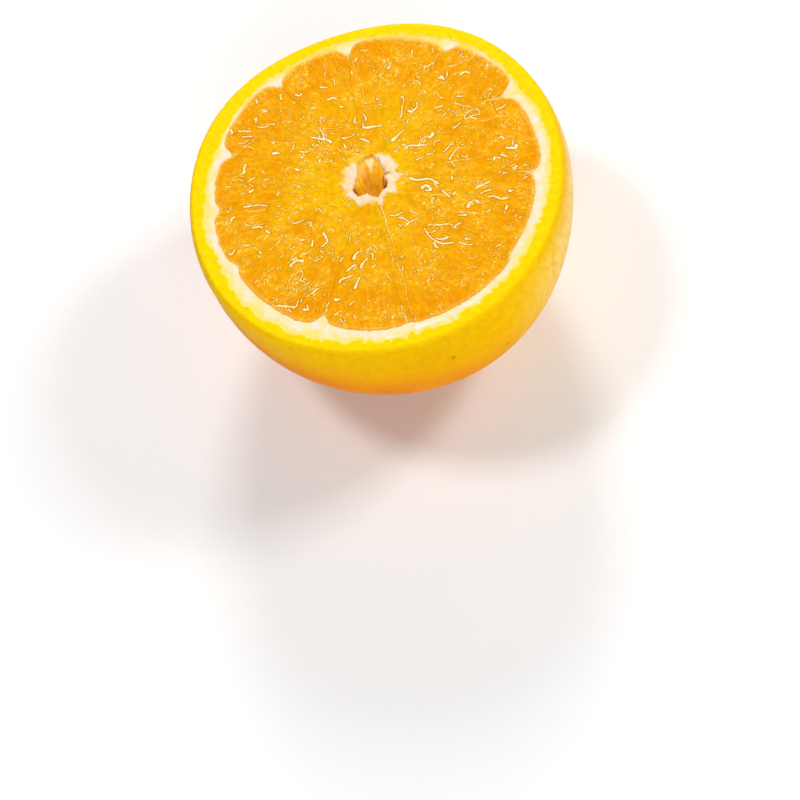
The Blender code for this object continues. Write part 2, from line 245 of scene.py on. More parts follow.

# Pale sac walls and wet strands that stand out on the cut, their paleness partly real wall and partly painted
# glint, each as (paleness in hundredths, half width at its start and at its end in hundredths of a
# millimetre, x and y of each point along it in tenths)
SEEN_STRANDS = (
    (90, 20, 16, -109, 244, -101, 240, -96, 243), (80, 26, 18, -139, 253, -138, 242),
    (80, 20, 16, -186, 258, -187, 251), (70, 26, 18, -180, 231, -171, 226),
    (70, 12, 24, -195, 220, -199, 208), (90, 22, 30, -250, 207, -249, 199),
    (90, 20, 15, -236, 199, -224, 195, -213, 190), (85, 12, 16, -198, 197, -184, 191, -174, 194, -163, 190),
    (70, 16, 12, -232, 184, -222, 181, -213, 178), (55, 20, 14, -243, 171, -230, 169, -222, 173),
    (50, 13, 11, -226, 163, -215, 166, -208, 174), (60, 14, 20, -179, 148, -172, 151),
    (98, 38, 14, -181, 127, -169, 123), (80, 16, 12, -142, 123, -137, 132),
    (55, 28, 20, -130, 100, -126, 101), (90, 16, 22, -101, 139, -92, 133, -81, 127),
    (80, 13, 16, -80, 152, -78, 140, -77, 129), (95, 22, 30, -79, 127, -68, 119, -67, 114),
    (50, 11, 9, -77, 145, -68, 148, -56, 144), (50, 14, 12, -72, 178, -75, 170, -74, 162),
    (85, 32, 14, -245, 104, -242, 114, -238, 121), (70, 13, 16, -255, 101, -244, 103),
    (70, 16, 14, -238, 84, -227, 85), (70, 12, 16, -287, 84, -279, 81), (70, 14, 14, -271, 96, -267, 91),
    (60, 14, 12, -211, 95, -206, 87), (60, 18, 12, -310, 90, -309, 95), (95, 38, 22, -243, 57, -237, 60),
    (35, 10, 10, -169, 42, -162, 46, -155, 42, -153, 34, -160, 28, -168, 32),
    (70, 24, 20, -149, 37, -148, 35), (95, 17, 14, -262, 28, -251, 26, -235, 23, -217, 16),
    (30, 40, 30, -257, 17, -242, 12, -225, 8), (95, 30, 16, -292, 7, -289, 11, -284, 12),
    (70, 20, 12, -295, 27, -289, 30, -287, 36), (90, 26, 13, -98, 80, -94, 86),
    (80, 26, 20, -76, 72, -74, 75), (75, 14, 24, -43, 103, -41, 93), (60, 16, 12, -56, 93, -52, 88),
    (95, 20, 12, -42, 118, -40, 114, -30, 115, -24, 115, -17, 119), (90, 12, 22, -12, 104, -5, 101, 5, 92),
    (70, 16, 10, -27, 74, -20, 70, -12, 64), (70, 26, 10, -11, 142, -10, 149, -5, 158),
    (90, 13, 24, 9, 159, 12, 150, 11, 141), (98, 18, 28, 5, 135, 2, 128, 8, 124, 16, 122),
    (85, 22, 12, 16, 123, 28, 121, 39, 119), (80, 20, 26, -50, 211, -41, 213, -34, 209),
    (80, 13, 20, -58, 245, -45, 240), (70, 13, 14, -27, 252, -29, 240), (60, 24, 18, -30, 188, -25, 186),
    (60, 24, 18, -118, 109, -112, 108), (70, 20, 10, 23, 282, 28, 287, 32, 291),
    (60, 13, 15, 40, 300, 45, 302, 51, 297), (80, 28, 20, 10, 258, 11, 261),
    (80, 28, 14, 81, 243, 85, 246, 90, 254), (50, 18, 14, 132, 252, 136, 265, 139, 271),
    (85, 20, 14, 151, 223, 160, 223, 169, 226), (60, 18, 16, 130, 205, 138, 204),
    (80, 12, 20, 127, 198, 132, 192, 134, 184), (75, 12, 11, 136, 174, 139, 161),
    (95, 32, 24, 174, 187, 179, 189, 180, 182), (70, 13, 22, 191, 198, 189, 187),
    (80, 16, 20, 214, 181, 223, 185, 232, 180),
    (35, 11, 11, 220, 212, 225, 220, 245, 216, 247, 211, 222, 211),
    (80, 12, 20, 90, 171, 94, 165, 91, 155, 86, 146, 82, 133, 78, 126), (95, 13, 28, 94, 136, 102, 130),
    (95, 26, 12, 102, 130, 109, 134, 115, 139, 117, 148), (70, 12, 18, 85, 106, 91, 115),
    (98, 42, 8, 51, 80, 61, 86, 80, 97), (85, 14, 12, 161, 154, 163, 145, 168, 139),
    (60, 24, 20, 148, 124, 162, 123), (60, 12, 12, 150, 114, 158, 117), (60, 14, 12, 155, 100, 166, 107),
    (80, 16, 18, 193, 136, 200, 134, 206, 132), (70, 14, 8, 186, 123, 196, 115, 208, 107, 220, 101),
    (75, 13, 12, 196, 82, 199, 89, 210, 95, 224, 94, 228, 88, 225, 81),
    (75, 12, 12, 225, 82, 213, 83, 200, 80, 196, 82), (90, 14, 24, 210, 79, 218, 74),
    (85, 18, 10, 170, 68, 179, 71, 187, 77), (75, 16, 16, 260, 82, 270, 82, 280, 86),
    (95, 14, 22, 71, 50, 74, 56, 82, 57, 91, 53, 99, 51, 110, 48),
    (85, 14, 12, 96, 53, 103, 62, 113, 66, 119, 65), (98, 34, 26, 121, 63, 128, 66, 127, 71),
    (70, 10, 13, 140, 68, 148, 64), (75, 13, 16, 125, 42, 129, 51, 139, 50), (60, 14, 12, 84, 39, 88, 36),
    (80, 17, 14, 83, 22, 98, 25), (60, 12, 12, 104, 29, 115, 27, 124, 32),
    (85, 20, 11, 139, 23, 148, 28, 154, 34, 162, 33), (80, 11, 26, 162, 19, 152, 10, 146, 3),
    (90, 13, 26, 247, 18, 254, 19, 256, 14), (98, 26, 32, 257, -8, 262, -11, 273, -14, 274, -9),
    (90, 18, 10, 269, -5, 273, 6), (90, 28, 18, 243, -20, 252, -27), (80, 24, 14, 227, -25, 229, -20),
    (70, 18, 16, 110, 4, 114, -2), (85, 11, 24, -258, -23, -245, -24, -238, -28),
    (70, 11, 9, -245, -25, -241, -21, -229, -21), (85, 26, 18, -232, -37, -226, -44),
    (70, 12, 20, -283, -50, -278, -56, -269, -56), (85, 26, 14, -310, -65, -306, -66, -299, -58),
    (70, 20, 18, -254, -76, -252, -82), (60, 12, 12, -182, -19, -184, -29),
    (80, 15, 15, -178, -38, -167, -39, -156, -37), (70, 13, 13, -131, -26, -124, -21, -119, -32),
    (70, 13, 13, -149, -53, -142, -46), (80, 16, 13, -194, -92, -186, -88),
    (70, 20, 16, -173, -78, -164, -81),
    (95, 26, 13, -127, -78, -124, -88, -123, -96, -132, -103, -139, -105),
    (80, 24, 15, -154, -98, -151, -90, -149, -86),
    (95, 28, 20, -202, -126, -195, -120, -186, -120, -178, -125), (90, 16, 20, -198, -114, -188, -114),
    (85, 22, 18, -168, -111, -164, -108), (60, 16, 12, -141, -112, -136, -119),
    (75, 13, 14, -158, -130, -148, -130, -140, -126), (70, 17, 14, -230, -126, -226, -122),
    (60, 12, 12, -215, -158, -204, -149, -189, -142, -184, -146, -184, -152),
    (60, 12, 12, -184, -152, -192, -160, -201, -167), (85, 14, 20, -110, -148, -103, -141),
    (98, 34, 18, -84, -150, -79, -142, -71, -138), (95, 22, 14, -102, -171, -93, -166, -83, -162),
    (98, 34, 11, -75, -171, -71, -166, -59, -157), (95, 26, 14, -122, -190, -115, -185, -94, -184),
    (98, 38, 12, -95, -210, -92, -204, -82, -192), (95, 26, 14, -177, -197, -172, -194, -162, -190),
    (95, 14, 20, -249, -200, -234, -206, -215, -214), (85, 17, 10, -211, -213, -205, -202),
    (80, 22, 12, -200, -224, -192, -228, -191, -218), (90, 28, 22, -138, -222, -132, -225, -129, -224),
    (70, 16, 10, -158, -241, -157, -233, -150, -225), (70, 28, 20, -144, -254, -139, -253),
    (60, 13, 12, -114, -242, -102, -237), (60, 13, 11, -93, -258, -88, -250),
    (70, 15, 13, -112, -264, -109, -272), (60, 20, 16, -79, -244, -76, -245),
    (75, 16, 12, -50, -161, -47, -154, -49, -149), (70, 20, 15, -54, -178, -47, -176),
    (70, 15, 12, -39, -132, -36, -144), (60, 13, 11, -75, -119, -65, -114),
    (70, 18, 15, -45, -108, -39, -109), (85, 17, 14, -1, -202, 3, -194), (60, 20, 16, -42, -290, -41, -294),
    (95, 28, 18, 62, -13, 70, -20, 84, -24, 96, -26, 104, -34, 111, -43),
    (98, 32, 18, 79, -42, 86, -38, 93, -46, 93, -52, 84, -49), (70, 15, 13, 104, -40, 107, -50),
    (75, 14, 26, 114, -57, 120, -71, 124, -78), (95, 26, 12, 89, -80, 90, -73, 96, -69),
    (85, 22, 16, 133, -75, 138, -70), (80, 20, 16, 139, -42, 139, -35), (80, 16, 12, 97, -101, 98, -93),
    (80, 15, 14, 6, -80, 16, -84, 29, -81), (85, 13, 13, 20, -90, 29, -96, 35, -104, 37, -108),
    (90, 20, 10, 27, -113, 36, -108, 48, -105, 58, -104), (60, 13, 11, 44, -84, 57, -94),
    (70, 16, 14, 17, -105, 20, -109),
    (90, 12, 18, 61, -129, 63, -139, 68, -152, 76, -162, 86, -171, 106, -176),
    (75, 12, 12, 62, -137, 74, -141, 86, -136), (70, 15, 13, 68, -124, 78, -125),
    (80, 20, 13, 84, -128, 93, -131, 106, -133), (95, 12, 28, 76, -156, 85, -161, 96, -162),
    (90, 22, 15, 71, -165, 73, -174, 76, -176), (70, 16, 12, 64, -184, 70, -180),
    (80, 20, 10, 117, -179, 127, -186, 139, -191), (90, 26, 18, 131, -175, 135, -178),
    (80, 20, 11, 116, -146, 120, -141, 131, -139), (85, 13, 22, 131, -122, 139, -125, 144, -126),
    (85, 20, 16, 176, -76, 190, -73, 206, -69), (75, 20, 15, 183, -90, 192, -88, 203, -88),
    (98, 34, 16, 152, -110, 156, -104, 164, -101), (90, 28, 22, 170, -102, 174, -108),
    (95, 13, 24, 194, -102, 206, -104, 216, -113, 222, -115), (95, 24, 12, 220, -114, 229, -116),
    (85, 26, 20, 235, -103, 243, -102), (90, 24, 20, 223, -132, 219, -137),
    (60, 16, 12, 216, -142, 214, -147), (75, 22, 18, 185, -132, 190, -130),
    (70, 18, 16, 182, -208, 189, -208), (60, 14, 12, 125, -217, 132, -220, 143, -217),
    (50, 14, 12, 116, -238, 125, -235, 135, -241), (60, 16, 13, 27, -306, 30, -309),
    (70, 13, 12, 147, -3, 149, -13, 155, -19), (55, 16, 11, -7, -56, -5, -80, -6, -105, -3, -138),
    (40, 10, 10, -3, -169, -6, -190, -3, -225, -7, -265, -5, -300),
    (34, 13, 10, 19, 310, 18, 270, 22, 225, 20, 186), (45, 20, 10, 299, 112, 274, 106, 252, 108, 235, 103),
    (40, 18, 10, -276, 161, -262, 150, -250, 146), (45, 20, 10, 293, -74, 278, -71, 260, -65),
    (36, 16, 10, -164, -246, -152, -226, -146, -206), (34, 15, 10, 186, 244, 173, 229, 164, 210),
)


def smooth_step(share):
    """Share from 0 to 1 with a soft start and end."""
    share = np.clip(share, 0.0, 1.0)
    return share * share * (3.0 - 2.0 * share)


def bell(value):
    """Bell curve: 1 at nought, and falling off to both sides."""
    return np.exp(-(value ** 2))


def lattice_value(column, row, seed):
    """Fixed random number from 0 to 1 for each place of a square lattice."""
    mixed = column.astype(np.int64) * 374761393 + row.astype(np.int64) * 668265263 + seed * 1442695041
    mixed = (mixed ^ (mixed >> 13)) & 0xFFFFFFFF
    mixed = (mixed * 1274126177) & 0xFFFFFFFF
    mixed = mixed ^ (mixed >> 16)
    return (mixed & 0xFFFF) / 65535.0


def soft_noise(x, y, seed):
    """Smooth noise from -1 to 1, one wave to each unit of x and y."""
    column = np.floor(x)
    row = np.floor(y)
    along = smooth_step(x - column)
    up = smooth_step(y - row)
    low = lattice_value(column, row, seed) * (1 - along) + lattice_value(column + 1, row, seed) * along
    high = lattice_value(column, row + 1, seed) * (1 - along)
    high = high + lattice_value(column + 1, row + 1, seed) * along
    return 2.0 * (low * (1 - up) + high * up) - 1.0


def layered_noise(x, y, seed, layers=3):
    """Soft noise with finer and weaker layers on top."""
    total = 0.0
    whole = 0.0
    for layer in range(layers):
        strength = 0.5 ** layer
        total = total + strength * soft_noise(x * 2 ** layer, y * 2 ** layer, seed + 31 * layer)
        whole += strength
    return total / whole


def line_noise(along, seed, row=0.0):
    """Soft noise along a line, one wave to each unit."""
    return soft_noise(along, along * 0.0 + row, seed)


def turn_away(angle, direction):
    """Degrees between directions in radians and one in degrees."""
    return np.abs((np.degrees(angle) - direction + 180.0) % 360.0 - 180.0)


def unevenness(table, x, y):
    """Sum of a table of noises."""
    total = 0.0
    for height, size, seed, layers in table:
        total = total + height * layered_noise(x / size, y / size, seed, layers)
    return total


def wave_sum(waves, angle):
    """Height of a set of outline waves in a direction."""
    return sum(height * np.cos(count * (angle - radians(crest))) for count, height, crest in waves)


def outline_offset(angle, height):
    """How far the skin stands out of the plain fruit: the rim's waves at the cut, the body's below."""
    depth_share = smooth_step((CUT_Z - height) / CUT_ABOVE_MIDDLE)
    at_rim = wave_sum(RIM_WAVES, angle)
    return at_rim + (wave_sum(BODY_WAVES, angle) - at_rim) * depth_share


def skin_radius(angle, height):
    """Radius of the skin in a direction at a height."""
    share = (height - MIDDLE_Z) / FRUIT_HALF_HEIGHT
    plain = FRUIT_RADIUS * np.sqrt(np.maximum(0.0, 1.0 - share * share))
    return plain + outline_offset(angle, height) * np.minimum(1.0, plain / RIM_RADIUS) - SKIN_INSET


def axis_shift():
    """Offset that puts the middle of the outline over the origin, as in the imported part."""
    angle = np.linspace(0.0, tau, 1440, endpoint=False)
    radius = np.array([skin_radius(angle, height) for height in np.linspace(MIDDLE_Z - 0.006, CUT_Z, 25)])
    x = radius * np.cos(angle)
    y = radius * np.sin(angle)
    return -0.5 * (x.min() + x.max()), -0.5 * (y.min() + y.max())


def segment_start(number):
    """Direction of the membrane before a segment, in radians."""
    return radians(SEGMENTS[number % len(SEGMENTS)][0])


def segment_width(number):
    """Angle that a segment takes."""
    return (segment_start(number + 1) - segment_start(number)) % tau


SHIFT_X, SHIFT_Y = axis_shift()
SEGMENT_WIDTHS = np.array([segment_width(number) for number in range(len(SEGMENTS))])
SEGMENT_REACHES = np.array([reach for _, reach, _ in SEGMENTS])
SEGMENT_NOTCHES = np.array([notch for _, _, notch in SEGMENTS])


def segment_place(angle):
    """Segment number and share of the way across it for each direction."""
    number = np.full(angle.shape, len(SEGMENTS) - 1)
    across = np.zeros(angle.shape)
    for index in range(len(SEGMENTS)):
        share = ((angle - segment_start(index)) % tau) / segment_width(index)
        inside = share < 1.0
        number = np.where(inside, index, number)
        across = np.where(inside, share, across)
    return number, across


def side_distance(number, across, radius):
    """Distance to the nearer side of a segment."""
    return np.minimum(across, 1.0 - across) * SEGMENT_WIDTHS[number] * radius


def flesh_reach(number, across):
    """Radius at which the flesh ends: a rounded lobe, with a notch of pith at each membrane."""
    reach = SEGMENT_REACHES[number]
    distance = side_distance(number, across, reach)
    neighbour = np.where(across < 0.5, number - 1, number + 1) % len(SEGMENTS)
    notch = SEGMENT_NOTCHES[np.where(across < 0.5, number, (number + 1) % len(SEGMENTS))]
    shared = 0.5 * (SEGMENT_REACHES[neighbour] - reach)
    corner = CORNER_DEPTH * bell(distance / CORNER_LENGTH) * np.minimum(1.0, notch / FULL_NOTCH)
    return reach + (shared - notch) * bell(distance / NOTCH_HALF_WIDTH) - corner


def core_reach(number, across):
    """Radius of the pith round the hollow: it runs out along each membrane."""
    distance = side_distance(number, across, CORE_PITH_REACH)
    return CORE_PITH_REACH + CORE_PITH_TEETH * bell(distance / TOOTH_HALF_WIDTH)


def corner_reach(corners, angle):
    """Radius of a straight-sided outline through its corners in each direction."""
    places, reaches = np.array(corners, dtype=float).T
    return np.interp(np.degrees(angle) % 360.0, places, reaches, period=360.0)


def from_hollow(x, y):
    """Distance and direction of places from the middle of the hollow."""
    x = x - HOLLOW_CENTRE[0]
    y = y - HOLLOW_CENTRE[1]
    return np.hypot(x, y), np.arctan2(y, x)


def core_paleness(x, y):
    """Share of pale pith round the hollow, fading out raggedly into the flesh."""
    distance, turn = from_hollow(x, y)
    ragged = 0.0004 * layered_noise(x / 0.0011, y / 0.0011, 95)
    return 1.0 - smooth_step((distance + ragged - corner_reach(CORE_PITH_CORNERS, turn) + 0.0005) / 0.0009)


def face_centre(nominal):
    """Middle of a ring of the cut face: over the hollow inside, and over the fruit's axis outside."""
    share = np.clip((FLESH_RADIUS - nominal) / (FLESH_RADIUS - HOLLOW_RADIUS), 0.0, 1.0)
    return HOLLOW_CENTRE[0] * share, HOLLOW_CENTRE[1] * share


def pith_edge(angle):
    """Radius of the scalloped line where the coloured peel meets the pith on the cut."""
    step = 360.0 / len(PITH_REACHES)
    corners = [(index * step, reach * MM) for index, reach in enumerate(PITH_REACHES)]
    lobes = (line_noise(angle * 21.0, 5) ** 2 + 0.012) ** 0.38
    strength = 0.62 + 0.38 * np.cos(angle - radians(SCALLOPED_DIRECTION))
    scallops = SCALLOP_HEIGHT * strength * (0.4 - lobes) + 0.0001 * line_noise(angle * 60.0, 6, 3.0)
    return corner_reach(corners, angle) - 0.5 * PITH_OVERLAP + scallops


def pith_yellowness(angle):
    """Share of yellow in the pith by direction: strong on one side, and uneven."""
    away = turn_away(angle, PITH_YELLOW_DIRECTION) / PITH_YELLOW_HALF_ANGLE
    share = 1.0 - smooth_step((away - 0.35) / 0.65)
    return np.clip(share * (0.78 + 0.45 * line_noise(angle * 9.0, 7)), 0.0, 1.0)


def build_piece(name, points, faces, values):
    """Piece of the fruit from points and faces, with named values for its material to read."""
    mesh = bpy.data.meshes.new(name)
    mesh.from_pydata((points + np.array([SHIFT_X, SHIFT_Y, 0.0])).tolist(), [], faces)
    for key, numbers in values.items():
        attribute = mesh.attributes.new(key, "FLOAT", "POINT")
        attribute.data.foreach_set("value", np.asarray(numbers, dtype=np.float32))
    mesh.validate()
    mesh.shade_smooth()
    piece = bpy.data.objects.new(name, mesh)
    bpy.context.scene.collection.objects.link(piece)
    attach(piece, "root")
    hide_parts("orange_half")
    return piece


def grid_faces(rows, columns, closed=False, ring=False):
    """Four-sided faces of a grid of points, row by row. A closed grid's last column meets its first,
    and a ring's last row meets its first."""
    faces = []
    for row in range(rows if ring else rows - 1):
        near = row * columns
        far = (row + 1) % rows * columns
        for column in range(columns if closed else columns - 1):
            after = (column + 1) % columns
            faces.append((near + column, near + after, far + after, far + column))
    return faces


def ring_points(centre, radius, angle, height):
    """Points of a ring round a middle."""
    x = centre[0] + radius * np.cos(angle)
    y = centre[1] + radius * np.sin(angle)
    return np.stack([x, y, np.broadcast_to(height, x.shape)], axis=-1)


def membrane_bend(number, share):
    """Sideways wander of a membrane between the core and its outer end, in metres."""
    wander = line_noise(share * 3.0, 11, number % len(SEGMENTS) * 7.3)
    return 0.0005 * wander * np.sin(np.pi * share)


def segment_plan(number):
    """Grid over a segment's cut face: shares outwards and across, radius, x and y."""
    columns = int(round(segment_width(number) * MESH_STEP_RADIUS / MESH_STEP))
    rows = np.linspace(0.0, 1.0, SEGMENT_ROWS)
    outwards, across = np.meshgrid(rows, np.linspace(0.0, 1.0, columns), indexing="ij")
    angle = segment_start(number) + segment_width(number) * across
    inner = core_reach(number, across)
    outer = flesh_reach(number, across)
    outer = outer + 0.00016 * line_noise(angle * 55.0, 83) + 0.0001 * line_noise(angle * 120.0, 84)
    radius = inner + (outer - inner) * outwards
    centre_x, centre_y = face_centre(CORE_RADIUS + (FLESH_RADIUS - CORE_RADIUS) * outwards)
    side = membrane_bend(number, outwards) * (1.0 - across) + membrane_bend(number + 1, outwards) * across
    side = side + SEGMENT_OVERLAP * (2.0 * across - 1.0)
    x = centre_x + radius * np.cos(angle) - side * np.sin(angle)
    y = centre_y + radius * np.sin(angle) + side * np.cos(angle)
    return outwards, across, radius, x, y


def sac_seeds(number, draw):
    """Juice sacs of a segment, as rows of radius, share across and two random numbers."""
    seeds = []
    radius = SAC_FIRST_RADIUS
    while radius < SAC_LAST_RADIUS:
        count = max(1, int(round(segment_width(number) * radius / SAC_SPACING)))
        for index in range(count):
            across = (index + 0.5 + draw.uniform(-SAC_WANDER_ACROSS, SAC_WANDER_ACROSS)) / count
            reach = radius + draw.uniform(-SAC_WANDER_OUTWARDS, SAC_WANDER_OUTWARDS)
            seeds.append((reach, across, draw.random(), draw.random()))
        radius += SAC_ROW_STEP
    return np.array(seeds)


def sac_cells(number, radius, across, x, y):
    """Distance to the wall of the sac under each point, with the sac's own two random numbers."""
    seeds = sac_seeds(number, random.Random(500 + number))
    width = segment_width(number)
    warp_x = SAC_WARP * soft_noise(x / SAC_WARP_SIZE, y / SAC_WARP_SIZE, 41 + number)
    warp_y = SAC_WARP * soft_noise(x / SAC_WARP_SIZE, y / SAC_WARP_SIZE, 71 + number)
    along = (radius + warp_x)[..., None] - seeds[:, 0]
    middle = (across - 0.5) * width * radius + warp_y
    aside = middle[..., None] - (seeds[:, 1] - 0.5) * width * radius[..., None]
    distance = np.sqrt((along / SAC_STRETCH) ** 2 + aside ** 2)
    order = np.argpartition(distance, 1, axis=-1)[..., :2]
    first, second = np.moveaxis(np.take_along_axis(distance, order, axis=-1), -1, 0)
    nearest = np.where(first <= second, order[..., 0], order[..., 1])
    return np.abs(second - first), seeds[nearest, 2], seeds[nearest, 3]


def random_path(draw, x, y, heading, length, widths, bend):
    """Path of a short strand as (x, y, half width) points, bending evenly as it goes."""
    path = []
    for share in (0.0, 0.5, 1.0):
        path.append((x, y, widths[0] + (widths[1] - widths[0]) * share))
        turn = heading + bend * (share - 0.5) + draw.uniform(-0.22, 0.22)
        x += cos(turn) * length / 2
        y += sin(turn) * length / 2
    return path


def random_strands(number, draw):
    """Short dashes and dots of torn sac wall in a segment, gathered in loose groups; their paleness is partly
    painted glint.
    """
    width = segment_width(number)
    strands = []
    for _ in range(int(GROUPS_PER_RADIAN * width)):
        radius = GROUP_REACH * sqrt(draw.uniform(*GROUP_AREA))
        angle = segment_start(number) + width * draw.random()
        shared_lean = angle + draw.gauss(0.0, 0.6)
        spread = draw.uniform(*GROUP_SPREAD)
        group_strength = draw.uniform(*GROUP_PALENESS)
        for _ in range(draw.choice(GROUP_SIZES)):
            x = radius * cos(angle) + draw.gauss(0.0, spread)
            y = radius * sin(angle) + draw.gauss(0.0, spread)
            heading = shared_lean + draw.gauss(0.0, 0.5)
            length = BIT_LENGTH + BIT_ADDED_LENGTH * draw.random() ** 2.2
            start_width = draw.uniform(*BIT_HALF_WIDTH)
            widths = (start_width, start_width * draw.uniform(0.6, 1.0))
            bend = draw.gauss(0.0, 0.9)
            height = draw.uniform(*BIT_HEIGHT)
            strength = group_strength * draw.uniform(0.5, 1.0)
            strands.append((random_path(draw, x, y, heading, length, widths, bend), height, strength))
    return strands


def soft_bends(path):
    """The same path with its corners rounded: a smooth curve through its points."""
    padded = [path[0]] + path + [path[-1]]
    curve = []
    for corners in zip(padded, padded[1:], padded[2:], padded[3:]):
        before, start, end, after = np.array(corners)
        for share in (0.0, 0.25, 0.5, 0.75):
            cubic = share * (3 * (start - end) + after - before)
            square = share * (2 * before - 5 * start + 4 * end - after + cubic)
            curve.append(tuple((start + 0.5 * share * (end - before + square)).tolist()))
    return curve + [path[-1]]


def listed_strands(table, slimness=1.0):
    """Strands of a table, in metres, as (path, height, paleness)."""
    low, high = STRAND_HEIGHTS
    strands = []
    for paleness, start_width, end_width, *numbers in table:
        places = list(zip(numbers[0::2], numbers[1::2]))
        path = []
        for index, (x, y) in enumerate(places):
            half_width = start_width / 100 + (end_width - start_width) / 100 * index / (len(places) - 1)
            path.append((x / 10 * MM, y / 10 * MM, half_width * slimness * MM))
        strands.append((path, low + (high - low) * paleness / 100, paleness / 100))
    return strands


def seen_strands():
    """The strands that stand out, with their bends rounded."""
    strands = listed_strands(SEEN_STRANDS, STRAND_SLIMNESS)
    return [(soft_bends(path) if len(path) > 2 else path, *looks) for path, *looks in strands]


def path_distance(path, x, y, ragged):
    """Distance to the edge of the strand along a path, and the strand's half width there."""
    outside = np.full(x.shape, 1.0)
    half_width = np.full(x.shape, 1.0)
    for (x0, y0, width0), (x1, y1, width1) in zip(path, path[1:]):
        run_x = x1 - x0
        run_y = y1 - y0
        share = ((x - x0) * run_x + (y - y0) * run_y) / (run_x ** 2 + run_y ** 2 + 1e-15)
        share = np.clip(share, 0.0, 1.0)
        own_width = (width0 + (width1 - width0) * share) * ragged
        gap = np.hypot(x - x0 - run_x * share, y - y0 - run_y * share) - own_width
        half_width = np.where(gap < outside, own_width, half_width)
        outside = np.minimum(outside, gap)
    return outside, half_width


def strand_relief(strands, x, y):
    """Height of rounded ridges along the strands, their paleness (wall and painted glint), and the painted
    shadow line along them.
    """
    relief = np.zeros(x.shape)
    paleness = np.zeros(x.shape)
    outline = np.zeros(x.shape)
    # Uneven brightness of the painted glints
    sparkle = 0.92 + 0.34 * soft_noise(x / 0.0005, y / 0.0005, 13)
    ragged = 1.0 + 0.42 * soft_noise(x / 0.00036, y / 0.00036, 14)
    for path, height, strength in strands:
        across, up, widths = zip(*path)
        reach = max(widths) + STRAND_SHADOW_WIDTH
        near = (x > min(across) - reach) & (x < max(across) + reach)
        near &= (y > min(up) - reach) & (y < max(up) + reach)
        if not near.any():
            continue
        outside, half_width = path_distance(path, x[near], y[near], ragged[near])
        relief[near] = np.maximum(relief[near], height * np.sqrt(np.clip(-outside / RIDGE_EDGE, 0.0, 1.0)))
        crest = smooth_step(-outside / (0.75 * half_width))
        shade = strength * (0.42 + 0.58 * crest) * sparkle[near] * (outside < 0)
        paleness[near] = np.maximum(paleness[near], shade)
        # Painted shadow: a dark line just outside each strand
        line = bell((outside - 0.6 * STRAND_SHADOW_WIDTH) / (0.5 * STRAND_SHADOW_WIDTH)) * (outside > 0)
        outline[near] = np.maximum(outline[near], strength * line)
    return relief, np.minimum(paleness, 1.0), outline


def flesh_height(wall, lift, inland, from_rim, x, y):
    """Height of the flesh over the cut: swollen sacs, fine grain and a soft shoulder at the pith."""
    shoulder = smooth_step(from_rim / SHOULDER_WIDTH)
    calm = 0.6 + 0.6 * layered_noise(x / 0.008, y / 0.008, 3)
    dome = 1.0 - np.exp(-wall / SAC_EDGE)
    relief = (SAC_HEIGHT + SAC_LIFT * lift) * dome * inland + SIDE_HEIGHT * (1.0 - inland)
    relief = relief * calm + unevenness(FLESH_GRAIN, x, y)
    return -FLESH_SINK + 0.00002 * shoulder + relief * (0.3 + 0.7 * shoulder)


def make_segment(number, strands):
    """One segment: a closed wedge of flesh whose cut top shows its juice sacs."""
    outwards, across, radius, x, y = segment_plan(number)
    wall, lift, tone = sac_cells(number, radius, across, x, y)
    from_rim = (1.0 - outwards) * (flesh_reach(number, across) - core_reach(number, across))
    inland = smooth_step(side_distance(number, across, radius) / SIDE_WIDTH)
    ridges, paleness, outline = strand_relief(strands, x, y)
    height = flesh_height(wall, lift, inland, from_rim, x, y) + ridges
    values = {
        "tone": 0.4 + (tone - 0.4) * inland,
        "wall": np.exp(-wall / SAC_WALL_WIDTH) * inland,
        "strand": paleness,
        "outline": outline,
        "radial": radius,
        "sideways": (across - 0.5) * segment_width(number) * radius + 0.05 * number,
        "outwards": outwards,
        "rim": 1.0 - smooth_step(from_rim / TINT_WIDTH),
        "pale": core_paleness(x, y),
    }
    top = np.stack([x, y, CUT_Z + height], axis=-1)
    points, faces, sources = close_wedge(top)
    values = {key: numbers.reshape(-1)[sources] for key, numbers in values.items()}
    return build_piece("segment_%02d" % (number + 1), points, faces, values)


def close_wedge(top):
    """Points and faces of a segment's top with sides and an underside, and for each point the one of
    the top that gives it its values."""
    rows, columns, _ = top.shape
    grid = np.arange(rows * columns).reshape(rows, columns)
    loop = np.concatenate([grid[0], grid[1:, -1], grid[-1, -2::-1], grid[-2:0:-1, 0]])
    top = top.reshape(-1, 3)
    rim = top[loop]
    middle = rim.mean(axis=0)
    points = [top]
    faces = grid_faces(rows, columns)
    upper = loop
    start = len(top)
    for depth, keep in WEDGE_RINGS:
        ring = middle + (rim - middle) * keep
        ring[:, 2] = CUT_Z - depth
        points.append(ring)
        lower = start + np.arange(len(loop))
        faces += np.stack([np.roll(upper, -1), upper, lower, np.roll(lower, -1)], axis=-1).tolist()
        upper = lower
        start += len(loop)
    points.append([[middle[0], middle[1], CUT_Z - SEGMENT_DEPTH]])
    faces += [(after, place, start) for place, after in zip(upper.tolist(), np.roll(upper, -1).tolist())]
    return np.concatenate(points), faces, np.concatenate([grid.reshape(-1), np.tile(loop, 3), loop[:1]])


